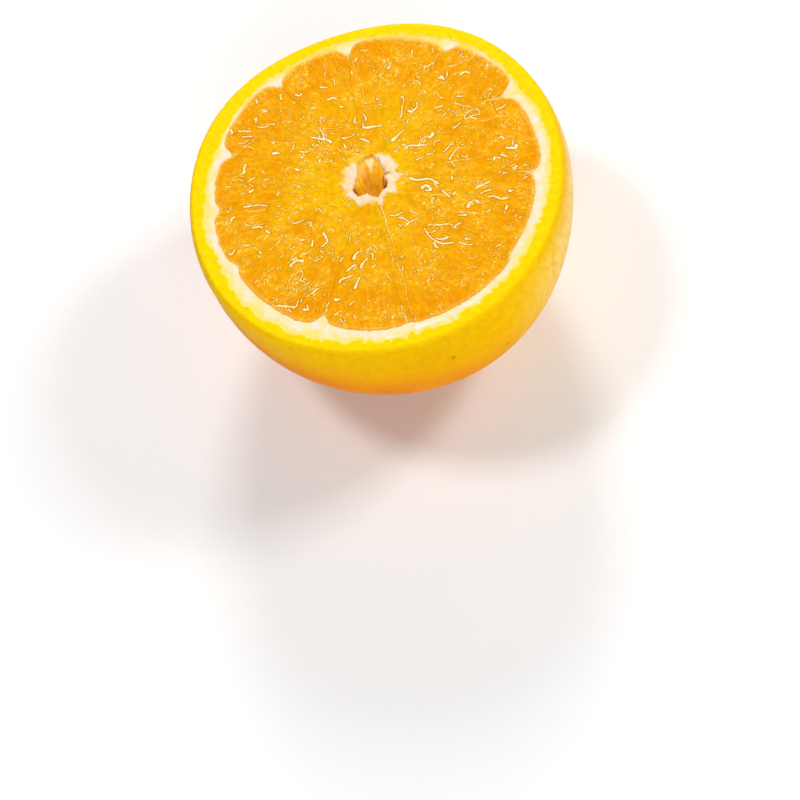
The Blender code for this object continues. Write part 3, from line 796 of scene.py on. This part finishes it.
def membrane_line(number):
    """Middle line of a membrane on the cut, its half width and how pale it is along it."""
    angle = segment_start(number)
    share = MEMBRANE_STATIONS
    inner = core_reach(number, 0.0)
    outer = flesh_reach(number, 0.0) + MEMBRANE_OVERLAP
    radius = inner + (outer - inner) * share
    centre_x, centre_y = face_centre(CORE_RADIUS + (FLESH_RADIUS - CORE_RADIUS) * share)
    bend = membrane_bend(number, np.clip(share, 0.0, 1.0))
    x = centre_x + radius * cos(angle) - bend * sin(angle)
    y = centre_y + radius * sin(angle) + bend * cos(angle)
    half_width = 0.5 * MEMBRANE_WIDTH * (1.0 + 0.35 * line_noise(share * 14.0, 23, number)) + 0.00005
    clear_length, clearness = MEMBRANE_LOOKS[number]
    at_rim = smooth_step(1.2 - (1.0 - share) * (outer - inner) / clear_length)
    broken = clearness * smooth_step(0.5 + 1.5 * line_noise(share * 9.0, 37, number))
    broken = broken * smooth_step((share - 0.1) / 0.16)
    return x, y, half_width, np.maximum(np.maximum(at_rim, broken), core_paleness(x, y))


def make_membranes():
    """Thin walls between the segments, level with the flesh and paler at their ends."""
    side, lift = MEMBRANE_SECTION.T
    count = len(MEMBRANE_STATIONS)
    corners = len(MEMBRANE_SECTION)
    tube = grid_faces(count, corners, closed=True)
    tube += [tuple(range(corners - 1, -1, -1)), tuple(range((count - 1) * corners, count * corners))]
    points = []
    faces = []
    pale = []
    for number in range(len(SEGMENTS)):
        angle = segment_start(number)
        x, y, half_width, paleness = membrane_line(number)
        top = CUT_Z - MEMBRANE_SINK + MEMBRANE_RISE * paleness
        top = top + 0.00003 * line_noise(MEMBRANE_STATIONS * 22.0, 29, number)
        offset = half_width[:, None] * side
        height = np.where(lift < -0.001, CUT_Z + lift, top[:, None] + lift)
        wall = np.stack([x[:, None] - offset * sin(angle), y[:, None] + offset * cos(angle), height], axis=-1)
        points.append(wall.reshape(-1, 3))
        faces += [tuple(corner + number * count * corners for corner in face) for face in tube]
        pale.append(np.repeat(paleness, corners))
    return build_piece("membranes", np.concatenate(points), faces, {"pale": np.concatenate(pale)})


def make_pith():
    """White ring between the coloured peel and the flesh, with a point at each membrane."""
    angle = np.linspace(0.0, tau, PITH_COLUMNS, endpoint=False)
    number, across = segment_place(angle)
    inner = flesh_reach(number, across) - PITH_UNDERLAP
    outer = pith_edge(angle) + PITH_OVERLAP
    sections = [(0.0, PITH_DEPTH), (0.0, 0.001)] + [(share, 0.0) for share in np.linspace(0.0, 1.0, 14)]
    sections += [(1.0, 0.001), (1.0, PITH_DEPTH)]
    highlight_streaks = listed_strands(PITH_HIGHLIGHTS)
    points = []
    inwards = []
    painted_highlights = []
    for share, depth in sections:
        radius = inner + (outer - inner) * share
        ring = ring_points((0.0, 0.0), radius, angle, CUT_Z - depth)
        x, y = ring[:, 0], ring[:, 1]
        if not depth:
            tucked = PITH_TUCK * (1.0 - smooth_step((radius - inner) / PITH_TUCK_WIDTH))
            ring[:, 2] += unevenness(PITH_GRAIN, x, y) - PITH_SINK - tucked
        points.append(ring)
        inwards.append(np.clip(1.0 - (radius - inner - 0.00015) / 0.0004, 0.0, 1.0))
        # Only the paleness of these streaks is kept: a painted highlight, with no relief
        painted_highlights.append(strand_relief(highlight_streaks, x, y)[1])
    dip = np.clip((SEGMENT_REACHES[number] - inner - 0.0004) / 0.001, 0.0, 1.0)
    values = {
        "inwards": np.concatenate(inwards),
        "outwards": np.repeat([share for share, _ in sections], PITH_COLUMNS),
        "yellow": np.tile(pith_yellowness(angle) * (1.0 - 0.85 * dip), len(sections)),
        "painted_highlight": np.concatenate(painted_highlights),
    }
    faces = grid_faces(len(sections), PITH_COLUMNS, closed=True, ring=True)
    return build_piece("pith", np.concatenate(points), [face[::-1] for face in faces], values)


def core_top(angle, number, across, edge):
    """Rings of the ragged top round the hollow, from the segments' tips in to the hollow's edge."""
    outer = core_reach(number, across) + CORE_OVERLAP
    rings = []
    for share in np.linspace(0.0, 1.0, 17):
        centre = face_centre(CORE_RADIUS + (HOLLOW_RADIUS - CORE_RADIUS) * share)
        ring = ring_points(centre, outer + (edge - outer) * share, angle, CUT_Z + 0.00002)
        ring[:, 2] += unevenness(CORE_GRAIN, ring[:, 0], ring[:, 1])
        ring[:, 2] -= 0.00018 * smooth_step((0.25 - share) / 0.25)
        ring[:, 2] -= 0.0003 * smooth_step((share - 0.88) / 0.12)
        rings.append(ring)
    return rings


def core_wall(angle, across, edge):
    """Rings of the hollow's walls, where each segment bulges in, down to the middle of its floor."""
    rings = []
    lobes = LOBE_HEIGHT * smooth_step(1.0 - np.abs(2.0 * across - 1.0))
    for share in np.linspace(0.04, 1.0, 56):
        keep = HOLLOW_FLOOR_SHARE + (1.0 - HOLLOW_FLOOR_SHARE) * sqrt(1.0 - share)
        rough = WALL_ROUGHNESS * layered_noise(angle * 3.0, angle * 0.0 + share * 4.0, 101, 4)
        radius = edge * keep - lobes * smooth_step(share * 3.0) + rough * smooth_step(share * 5.0)
        rings.append(ring_points(HOLLOW_CENTRE, radius, angle, CUT_Z - HOLLOW_DEPTH * share))
    floor = rings[-1]
    middle = np.array([*HOLLOW_CENTRE, CUT_Z - HOLLOW_DEPTH + FLOOR_MOUND])
    return rings + [floor + (middle - floor) * share for share in (0.3, 0.6, 0.85, 1.0)]


def make_core():
    """Ragged pith round the hollow, and the hollow's walls down to its floor."""
    angle = np.linspace(0.0, tau, CORE_COLUMNS, endpoint=False)
    number, across = segment_place(angle)
    rag = 0.00016 * line_noise(angle * 9.0, 81) + 0.0001 * line_noise(angle * 26.0, 82)
    edge = corner_reach(HOLLOW_CORNERS, angle) + rag
    rings = core_top(angle, number, across, edge) + core_wall(angle, across, edge)
    points = np.concatenate(rings)
    x, y, z = points.T
    depth = np.maximum(0.0, CUT_Z - 0.0004 - z)
    away = turn_away(from_hollow(x, y)[1], REMNANT_DIRECTION)
    remnant = 1.0 - smooth_step((away / REMNANT_HALF_ANGLE + depth / REMNANT_DEPTH - 0.85) / 0.3)
    # Painted shade in the creases where the segments meet on the hollow's wall
    crease_shade = np.tile(bell(np.minimum(across, 1.0 - across) / 0.09), len(rings))
    # Painted shade in the hollow's nooks
    corner = np.zeros(len(points))
    for corner_x, corner_y, size in SHADED_NOOKS:
        gap = np.hypot(x - corner_x, y - corner_y)
        corner = np.maximum(corner, bell(gap / size) * (depth > 0.0001))
    tones = np.array([random.Random(60 + index).random() for index in range(len(SEGMENTS))])
    values = {
        "pale": np.where(depth > 0.00015, remnant, core_paleness(x, y)),
        "depth": np.clip(depth / HOLLOW_DEPTH, 0.0, 1.0),
        "tone": np.tile(tones[number], len(rings)),
        "crease_shade": crease_shade * smooth_step((depth - 0.001) / 0.003),
        "corner": corner,
    }
    return build_piece("core", points, grid_faces(len(rings), CORE_COLUMNS, closed=True), values)


def peel_rings(angle, inner):
    """Rings of the peel from under the pith over the cut and the rim and down the skin to the floor,
    as (radius, height, share of cut peel)."""
    rings = []
    for height in np.linspace(0.006, CUT_Z - 0.0012, 10):
        lining = np.maximum(0.002, skin_radius(angle, height) - COLOURED_PEEL)
        rings.append((inner if height > CUT_Z - 0.006 else lining, height, 1.0))
    rim = skin_radius(angle, CUT_Z) - RIM_ROUNDING
    for share in np.linspace(0.0, 1.0, 14):
        radius = inner + (rim - inner) * share
        tucked = PEEL_TUCK * (1.0 - smooth_step((radius - inner) / PITH_OVERLAP))
        rings.append((radius, CUT_Z - tucked, 1.0))
    for turn in np.linspace(0.0, 1.0, 8)[1:]:
        height = CUT_Z - RIM_ROUNDING * (1.0 - cos(turn * tau / 4))
        rings.append((rim + (skin_radius(angle, height) - rim) * sin(turn * tau / 4), height, 1.0 - turn))
    start = np.arcsin((CUT_Z - RIM_ROUNDING - MIDDLE_Z) / FRUIT_HALF_HEIGHT)
    end = np.arcsin(-MIDDLE_Z / FRUIT_HALF_HEIGHT)
    for slope in np.linspace(start, end, 122)[1:]:
        height = MIDDLE_Z + FRUIT_HALF_HEIGHT * sin(slope)
        rings.append((skin_radius(angle, height), height, 0.0))
    last = rings[-1][0]
    return rings + [(last * share, 0.0, 0.0) for share in (0.8, 0.6, 0.4, 0.2, 0.02)]


def make_peel():
    """Coloured peel: its band on the cut, the rounded rim, and the dimpled skin down to the resting spot."""
    angle = np.linspace(0.0, tau, PEEL_COLUMNS, endpoint=False)
    inner = pith_edge(angle)
    rings = peel_rings(angle, inner)
    cut = np.repeat([share for _, _, share in rings], PEEL_COLUMNS)
    points = [ring_points((0.0, 0.0), radius, angle, height) for radius, height, _ in rings]
    points = dimple(np.concatenate(points), cut)
    drop = CUT_Z - points[:, 2]
    facing = np.tile(np.cos(angle - radians(GLARE_DIRECTION)), len(rings))
    # Painted glare: where pale streaks stand in for a softbox's reflection on the side facing it; the coat is
    # there too
    glare = smooth_step((facing - 0.5) / 0.45) * smooth_step((drop - 0.0005) / 0.005)
    # The lit side, where the painted shade towards the floor is weaker
    bright = np.tile(smooth_step((np.cos(angle - radians(LIT_SIDE_DIRECTION)) - 0.3) / 0.6), len(rings))
    from_pith = np.concatenate([radius - inner for radius, _, _ in rings])
    values = {
        "cut": cut,
        # low: painted shade and orange bounce light, the skin darker and more orange towards the floor
        "low": smooth_step(drop / 0.018) * (1.0 - 0.72 * bright),
        "glare": glare * (1.0 - smooth_step((drop - 0.009) / 0.017)),
        "pithy": (1.0 - np.clip(from_pith / 0.001, 0.0, 1.0)) * cut,
        "speck": speck_shade(points),
    }
    faces = grid_faces(len(rings), PEEL_COLUMNS, closed=True)
    faces.append(tuple(range(len(points) - PEEL_COLUMNS, len(points)))[::-1])
    return build_piece("peel", points, [face[::-1] for face in faces], values)


def speck_shade(points):
    """How dark the few small specks make the skin, each fully dark at the point nearest to its middle."""
    shade = np.zeros(len(points))
    for direction, height, darkness in SPECKS:
        angle = radians(direction)
        radius = skin_radius(angle, height)
        gap = np.linalg.norm(points - np.array([radius * cos(angle), radius * sin(angle), height]), axis=1)
        shade = np.maximum(shade, darkness * bell((gap - gap.min()) / SPECK_SIZE))
    return shade


def gland_tree():
    """Middles of the oil glands, evenly spread with some wander over a ball of radius 1."""
    draw = random.Random(77)
    count = int(4.0 * np.pi * FRUIT_RADIUS ** 2 / GLAND_PITCH ** 2)
    glands = KDTree(count)
    for index in range(count):
        height = 1.0 - 2.0 * (index + 0.5) / count
        turn = index * GOLDEN_ANGLE + draw.uniform(-0.5, 0.5) / sqrt(count) * 2.2
        height = max(-1.0, min(1.0, height + draw.uniform(-0.5, 0.5) * 2.0 / sqrt(count)))
        level = sqrt(1.0 - height * height)
        glands.insert((level * cos(turn), level * sin(turn), height), index)
    glands.balance()
    return glands


def dimple(points, cut):
    """Presses the oil glands into the skin."""
    glands = gland_tree()
    middle = Vector((0.0, 0.0, MIDDLE_Z))
    result = points.copy()
    for index, point in enumerate(points):
        if cut[index] > 0.6 or point[2] < 0.0001:
            continue
        outward = (Vector(point) - middle).normalized()
        _, which, gap = glands.find(outward)
        share = min(1.0, gap * FRUIT_RADIUS / (0.5 * GLAND_PITCH))
        depth = GLAND_DEPTH * (0.5 + 0.5 * cos(share * tau / 2)) * (0.6 + 0.4 * (which * 7919 % 101) / 100.0)
        result[index] = point - np.array(outward) * depth * (1.0 - cut[index])
    return result


def plug(tree, value, socket):
    """Gives an input its value: the output of another node, a colour or plain numbers."""
    if isinstance(value, bpy.types.NodeSocket):
        tree.links.new(value, socket)
    elif socket.type == "RGBA":
        socket.default_value = (*value, 1.0)
    else:
        socket.default_value = value


def new_node(tree, kind, output, inputs, **settings):
    """Output of a new shader node with its settings and inputs."""
    made = tree.nodes.new(kind)
    for key, value in settings.items():
        setattr(made, key, value)
    for key, value in inputs.items():
        plug(tree, value, made.inputs[key])
    return made.outputs[output]


def read_value(tree, name):
    """One of a mesh's own values."""
    return new_node(tree, "ShaderNodeAttribute", "Fac", {}, attribute_name=name)


def combine(tree, operation, first, second):
    """Sum or product of two values."""
    return new_node(tree, "ShaderNodeMath", "Value", {0: first, 1: second}, operation=operation)


def noise(tree, scale, detail, stretch=(1.0, 1.0, 1.0), distortion=0.0):
    """Noise in object space, with waves of 1/scale metres."""
    place = new_node(tree, "ShaderNodeTexCoord", "Object", {})
    place = new_node(tree, "ShaderNodeMapping", "Vector", {"Vector": place, "Scale": stretch})
    inputs = {"Vector": place, "Scale": scale, "Detail": detail, "Distortion": distortion}
    return new_node(tree, "ShaderNodeTexNoise", "Fac", inputs)


def streak_noise(tree, radial_scale, sideways_scale, detail):
    """Noise drawn out along the segments, from their own radial and sideways places."""
    radial = combine(tree, "MULTIPLY", read_value(tree, "radial"), radial_scale)
    sideways = combine(tree, "MULTIPLY", read_value(tree, "sideways"), sideways_scale)
    place = new_node(tree, "ShaderNodeCombineXYZ", "Vector", {0: radial, 1: sideways})
    inputs = {"Vector": place, "Scale": 1.0, "Detail": detail, "Distortion": 0.6}
    return new_node(tree, "ShaderNodeTexNoise", "Fac", inputs)


def ramp(tree, value, *stops):
    """Colour ramp over a value, as (place, colour) stops. A single number stands for a grey."""
    made = tree.nodes.new("ShaderNodeValToRGB")
    elements = made.color_ramp.elements
    elements.remove(elements[-1])
    for index, (place, colour) in enumerate(stops):
        element = elements.new(place) if index else elements[0]
        element.position = place
        element.color = (*colour, 1.0) if isinstance(colour, tuple) else (colour, colour, colour, 1.0)
    plug(tree, value, made.inputs["Fac"])
    return made.outputs["Color"]


def mix(tree, share, first, second, amount=1.0):
    """Mix of two colours by a share of an amount."""
    share = combine(tree, "MULTIPLY", share, amount)
    return new_node(tree, "ShaderNodeMix", 2, {"Factor": share, 6: first, 7: second}, data_type="RGBA")


def paint(tree, colour, layers):
    """Colour with layers painted over it, each as (share, colour, amount)."""
    for share, layer, amount in layers:
        colour = mix(tree, share, colour, layer, amount)
    return colour


def bump(tree, height, strength, distance):
    """Fine relief that is too small for the mesh."""
    inputs = {"Height": height, "Strength": strength, "Distance": distance}
    return new_node(tree, "ShaderNodeBump", "Normal", inputs)


def new_material(name):
    """Empty node material with its tree."""
    material = bpy.data.materials.new(name)
    material.use_nodes = True
    return material, material.node_tree


def set_shader(tree, inputs):
    """Gives the shader its inputs."""
    shader = tree.nodes["Principled BSDF"]
    shader.inputs["IOR"].default_value = 1.38
    for key, value in inputs.items():
        plug(tree, value, shader.inputs[key])


def glint_mask(tree):
    """Crisp small glints on torn sac walls, gathered in patches: painted highlights, laid in as colour."""
    grouped = ramp(tree, noise(tree, 300.0, 3.0), (0.46, 0.0), (0.62, 1.0))
    crumbs = noise(tree, 1350.0, 2.0, stretch=(1.0, 1.4, 1.0), distortion=1.2)
    return combine(tree, "MULTIPLY", grouped, ramp(tree, crumbs, (0.585, 0.0), (0.64, 1.0)))


def flesh_material():
    """Wet orange flesh, yellower towards the core, with pale sac walls and strands, and painted glints and
    shadow lines.
    """
    material, tree = new_material("orange_flesh")
    cloud = noise(tree, 300.0, 4.0)
    grain = noise(tree, 1100.0, 3.0)
    areas = noise(tree, 130.0, 3.0)
    streaks = streak_noise(tree, 520.0, 1700.0, 3.0)
    strand = read_value(tree, "strand")
    base = ramp(
        tree, read_value(tree, "outwards"), (0.0, (0.87, 0.57, 0.001)), (0.15, (0.86, 0.51, 0.001)),
        (0.55, (0.84, 0.4, 0.001)), (0.85, (0.83, 0.35, 0.001)), (1.0, (0.81, 0.305, 0.001)))
    flesh = paint(tree, base, (
        (read_value(tree, "tone"), (0.78, 0.28, 0.001), 0.34),
        (ramp(tree, areas, (0.42, 0.0), (0.62, 1.0)), (0.8, 0.26, 0.001), 0.5),
        (ramp(tree, cloud, (0.42, 0.0), (0.66, 1.0)), (0.88, 0.48, 0.001), 0.45),
        (ramp(tree, grain, (0.42, 1.0), (0.56, 0.0)), (0.67, 0.25, 0.001), 0.36),
        (read_value(tree, "wall"), (0.93, 0.52, 0.01), 0.3),
        (ramp(tree, streaks, (0.56, 0.0), (0.66, 1.0)), (0.94, 0.53, 0.01), 0.45),
        # Painted shadow line beside the strands
        (read_value(tree, "outline"), (0.34, 0.13, 0.001), 0.95),
        (read_value(tree, "rim"), (0.94, 0.52, 0.08), 0.5),
        # Painted glints: small highlights laid in as pale colour
        (glint_mask(tree), (0.97, 0.69, 0.17), 0.85),
        (read_value(tree, "pale"), (0.91, 0.68, 0.44), 1.0),
    ))
    # Strand colours: partly pale sac wall, partly painted highlight of wet glints
    strands = ramp(
        tree, strand, (0.15, (0.94, 0.57, 0.06)), (0.5, (0.97, 0.72, 0.32)), (0.9, (0.97, 0.81, 0.57)))
    set_shader(tree, {
        "Base Color": mix(tree, ramp(tree, strand, (0.0, 0.0), (0.45, 1.0)), flesh, strands),
        "Roughness": ramp(tree, cloud, (0.3, 0.16), (0.8, 0.26)),
        "Specular IOR Level": 0.12,
        "Coat Weight": ramp(tree, strand, (0.0, 0.04), (0.7, 0.5)),
        "Coat Roughness": 0.08,
        "Coat IOR": 1.38,
        "Subsurface Weight": 0.35,
        "Subsurface Scale": 0.0006,
        "Subsurface Radius": (1.0, 0.45, 0.06),
        "Normal": bump(tree, grain, 0.35, 0.00008),
    })
    return material


def pith_material():
    """Cream pith: soft, slightly fibrous, tinted where it meets the flesh and the coloured peel, with painted
    white highlights.
    """
    material, tree = new_material("orange_pith")
    base = ramp(
        tree, noise(tree, 420.0, 4.0), (0.34, (0.94, 0.7, 0.3)), (0.5, (0.94, 0.73, 0.46)),
        (0.66, (0.95, 0.76, 0.62)))
    fine = noise(tree, 1100.0, 3.0)
    raised = combine(tree, "ADD", read_value(tree, "outwards"), fine)
    edge = {"Value": raised, "From Min": 1.05, "From Max": 1.35}
    set_shader(tree, {
        "Base Color": paint(tree, base, (
            (read_value(tree, "inwards"), (0.94, 0.52, 0.08), 0.7),
            (new_node(tree, "ShaderNodeMapRange", "Result", edge), (0.97, 0.7, 0.1), 0.8),
            (read_value(tree, "yellow"), (0.96, 0.6, 0.03), 0.9),
            # Painted highlight: white glossy wet streaks
            (read_value(tree, "painted_highlight"), (0.98, 0.9, 0.88), 0.8),
        )),
        "Roughness": 0.38,
        "Specular IOR Level": 0.2,
        "Normal": bump(tree, fine, 0.6, 0.00012),
    })
    return material


def membrane_material():
    """Thin walls between the segments: like the flesh, and pale where they show."""
    material, tree = new_material("orange_membrane")
    base = ramp(tree, noise(tree, 700.0, 3.0), (0.3, (0.9, 0.37, 0.001)), (0.7, (0.95, 0.44, 0.002)))
    set_shader(tree, {
        "Base Color": mix(tree, read_value(tree, "pale"), base, (0.96, 0.68, 0.28), 0.85),
        "Roughness": 0.22,
        "Coat Weight": 0.5,
        "Coat Roughness": 0.1,
        "Subsurface Weight": 0.4,
        "Subsurface Scale": 0.0006,
        "Subsurface Radius": (1.0, 0.45, 0.1),
        "Normal": bump(tree, noise(tree, 1500.0, 3.0), 0.3, 0.00008),
    })
    return material


def core_material():
    """Pith round the hollow, and the backs of the segments on its walls, with a painted glow and painted
    shade inside.
    """
    material, tree = new_material("orange_core")
    cloud = noise(tree, 500.0, 4.0)
    depth = read_value(tree, "depth")
    corner = read_value(tree, "corner")
    pale = read_value(tree, "pale")
    inside = ramp(tree, depth, (0.02, 0.0), (0.08, 1.0))
    pith = ramp(tree, cloud, (0.35, (0.88, 0.61, 0.31)), (0.65, (0.91, 0.69, 0.51)))
    tops = ramp(tree, cloud, (0.3, (0.9, 0.47, 0.001)), (0.7, (0.92, 0.54, 0.001)))
    wall = ramp(
        tree, read_value(tree, "tone"), (0.0, (0.84, 0.5, 0.006)), (0.5, (0.84, 0.58, 0.02)),
        (1.0, (0.9, 0.56, 0.12)))
    stains = noise(tree, 750.0, 2.0)
    colour = paint(tree, tops, (
        (inside, wall, 1.0),
        # Darker towards the hollow's floor: painted shade
        (ramp(tree, depth, (0.25, 0.0), (0.9, 1.0)), (0.76, 0.5, 0.008), 0.75),
        (ramp(tree, cloud, (0.4, 0.0), (0.62, 1.0)), (0.92, 0.58, 0.14), 0.35),
        (ramp(tree, stains, (0.5, 0.0), (0.64, 1.0)), (0.72, 0.24, 0.004), 0.45),
        # Painted shade in the creases
        (read_value(tree, "crease_shade"), (0.58, 0.22, 0.004), 0.4),
        # Painted shade in the nooks, which also dims the painted glow
        (corner, (0.24, 0.025, 0.003), 1.0),
        (pale, pith, 1.0),
    ))
    # Painted glow: the hollow's walls emit light, in place of light through the flesh; more on pale pith,
    # less in the nooks
    glow_strength = ramp(tree, pale, (0.0, 0.26), (1.0, 0.5))
    glow_strength = combine(tree, "MULTIPLY", glow_strength, ramp(tree, corner, (0.0, 1.0), (1.0, 0.25)))
    set_shader(tree, {
        "Base Color": colour,
        "Emission Color": colour,
        "Emission Strength": combine(tree, "MULTIPLY", inside, glow_strength),
        "Roughness": 0.38,
        "Specular IOR Level": 0.25,
        "Normal": bump(tree, noise(tree, 1300.0, 4.0), 0.5, 0.00012),
    })
    return material


def peel_material():
    """Yellow-orange skin with oil glands, and the bright yellow band where it is cut; the skin has painted
    shade and glare.
    """
    material, tree = new_material("orange_peel")
    patches = noise(tree, 90.0, 4.0)
    pores = noise(tree, 620.0, 4.0)
    grain = noise(tree, 700.0, 3.0)
    glare = read_value(tree, "glare")
    highlight_streaks = ramp(tree, noise(tree, 380.0, 4.0, (1.0, 2.6, 0.8)), (0.42, 0.12), (0.56, 1.0))
    cracks = ramp(tree, noise(tree, 520.0, 3.0, (1.0, 3.2, 0.7)), (0.47, 0.0), (0.5, 1.0), (0.53, 0.0))
    # Skin darker and more orange as low grows: painted shade and orange bounce light
    base = ramp(
        tree, read_value(tree, "low"), (0.0, (0.98, 0.58, 0.001)), (0.12, (0.97, 0.53, 0.001)),
        (0.35, (0.97, 0.46, 0.001)), (0.75, (0.9, 0.28, 0.001)), (1.0, (0.87, 0.235, 0.001)))
    skin = paint(tree, base, (
        (ramp(tree, patches, (0.38, 0.0), (0.68, 1.0)), (0.98, 0.56, 0.001), 0.28),
        (ramp(tree, pores, (0.4, 0.0), (0.66, 1.0)), (0.83, 0.31, 0.001), 0.26),
        # Painted glare: pale streaks of a softbox's reflection
        (combine(tree, "MULTIPLY", glare, highlight_streaks), (1.0, 0.8, 0.19), 0.6),
        (combine(tree, "MULTIPLY", cracks, glare), (0.8, 0.36, 0.01), 0.45),
        (read_value(tree, "speck"), (0.3, 0.06, 0.003), 0.62),
    ))
    band = ramp(tree, grain, (0.35, (0.96, 0.6, 0.002)), (0.65, (0.97, 0.67, 0.003)))
    raised = combine(tree, "ADD", read_value(tree, "pithy"), grain)
    band = mix(tree, ramp(tree, raised, (0.8, 0.0), (1.0, 1.0)), band, (0.97, 0.73, 0.24), 0.8)
    glands = {"Vector": new_node(tree, "ShaderNodeTexCoord", "Object", {}), "Scale": 1000.0}
    set_shader(tree, {
        "Base Color": mix(tree, read_value(tree, "cut"), skin, band),
        "Roughness": ramp(tree, patches, (0.3, 0.36), (0.7, 0.46)),
        "Specular IOR Level": 0.02,
        "Coat Weight": combine(tree, "MULTIPLY", glare, 0.6),
        "Coat Roughness": 0.28,
        "Coat IOR": 1.45,
        "Normal": bump(tree, new_node(tree, "ShaderNodeTexVoronoi", "Distance", glands), 0.6, 0.00022),
    })
    return material


def floor_material():
    """Plain pale floor."""
    material, tree = new_material("pale_floor")
    colour = ramp(tree, noise(tree, 3.0, 2.0), (0.3, 0.9), (0.7, 0.93))
    set_shader(tree, {"Base Color": colour, "Roughness": 0.6})
    return material


# Camera: the photograph's viewing angle on the cut face, and its place in an image of 800 by 800
IMAGE_SIZE = 800
VIEW_ELEVATION = 58.52
VIEW_ROLL = 16.07
FACE_RADIUS = 0.03655
FACE_SCALE = 188.52
FACE_PIXEL = (377.4, 181.2)
VIEW_DISTANCE = 10.059 * FACE_RADIUS
SENSOR_WIDTH = 36.0


def make_camera():
    """Camera that sees the cut face as the photograph does, with no shift."""
    focal_pixels = FACE_SCALE * VIEW_DISTANCE / FACE_RADIUS
    elevation = radians(VIEW_ELEVATION)
    roll = radians(VIEW_ROLL)
    forward = Vector((0.0, cos(elevation), -sin(elevation)))
    right = Vector((1.0, 0.0, 0.0))
    up = right.cross(forward)
    rolled_right = right * cos(roll) - up * sin(roll)
    rolled_up = right * sin(roll) + up * cos(roll)
    aside = (FACE_PIXEL[0] - IMAGE_SIZE / 2) / focal_pixels
    above = -(FACE_PIXEL[1] - IMAGE_SIZE / 2) / focal_pixels
    turn = Vector((0.0, 0.0, 1.0)).rotation_difference(Vector((aside, above, 1.0))).to_matrix()
    view = turn @ Matrix((rolled_right, rolled_up, forward))
    camera = bpy.data.objects.new("camera", bpy.data.cameras.new("camera"))
    camera.data.sensor_width = SENSOR_WIDTH
    camera.data.lens = focal_pixels * SENSOR_WIDTH / IMAGE_SIZE
    camera.data.clip_start = 0.01
    axes = Matrix((view[0], view[1], -view[2])).transposed()
    place = Vector((SHIFT_X, SHIFT_Y, CUT_Z)) - forward * VIEW_DISTANCE
    camera.matrix_world = Matrix.Translation(place) @ axes.to_4x4()
    bpy.context.scene.collection.objects.link(camera)
    bpy.context.scene.camera = camera


# Studio: half the floor's width, brightness all round, and the softboxes a metre away, as (name,
# direction round the fruit and elevation in degrees, size, strength)
FLOOR_HALF = 1.5
SURROUND_STRENGTH = 0.16
SOFTBOXES = (
    ("key_softbox", 10.0, 31.0, 0.24, 5.2),
    ("left_softbox", -62.0, 62.0, 0.2, 3.4),
    ("right_softbox", 78.0, 41.0, 0.24, 4.0),
    ("front_softbox", 180.0, 28.0, 0.7, 5.0),
)


def add_softbox(name, azimuth, elevation, size, strength):
    """Square softbox that faces the fruit, placed by its direction from it."""
    lamp = bpy.data.lights.new(name, "AREA")
    lamp.shape = "SQUARE"
    lamp.size = size
    lamp.energy = strength
    box = bpy.data.objects.new(name, lamp)
    azimuth = radians(azimuth)
    elevation = radians(elevation)
    level = cos(elevation)
    direction = Vector((level * sin(azimuth), level * cos(azimuth), sin(elevation)))
    box.location = Vector((0.0, 0.0, CUT_Z)) + direction
    box.rotation_euler = direction.to_track_quat("Z", "Y").to_euler()
    bpy.context.scene.collection.objects.link(box)


def make_studio():
    """Pale floor, soft surrounding light and softboxes."""
    half = FLOOR_HALF
    corners = [(-half, -half, 0.0), (half, -half, 0.0), (half, half, 0.0), (-half, half, 0.0)]
    mesh = bpy.data.meshes.new("floor")
    mesh.from_pydata(corners, [], [(0, 1, 2, 3)])
    mesh.materials.append(floor_material())
    floor = bpy.data.objects.new("floor", mesh)
    scene = bpy.context.scene
    scene.collection.objects.link(floor)
    scene.world = bpy.data.worlds.new("studio")
    scene.world.use_nodes = True
    background = scene.world.node_tree.nodes["Background"]
    background.inputs["Color"].default_value = (1.0, 1.0, 1.0, 1.0)
    background.inputs["Strength"].default_value = SURROUND_STRENGTH
    for softbox in SOFTBOXES:
        add_softbox(*softbox)
    scene.view_settings.view_transform = "Standard"
    scene.view_settings.look = "None"


def main():
    """Builds the fruit's pieces, gives them their materials and sets the studio."""
    flesh = flesh_material()
    draw = random.Random(41)
    strands = seen_strands()
    for number in range(len(SEGMENTS)):
        strands += random_strands(number, draw)
    for number in range(len(SEGMENTS)):
        make_segment(number, strands).data.materials.append(flesh)
    make_membranes().data.materials.append(membrane_material())
    make_pith().data.materials.append(pith_material())
    make_core().data.materials.append(core_material())
    make_peel().data.materials.append(peel_material())
    make_camera()
    make_studio()


main()
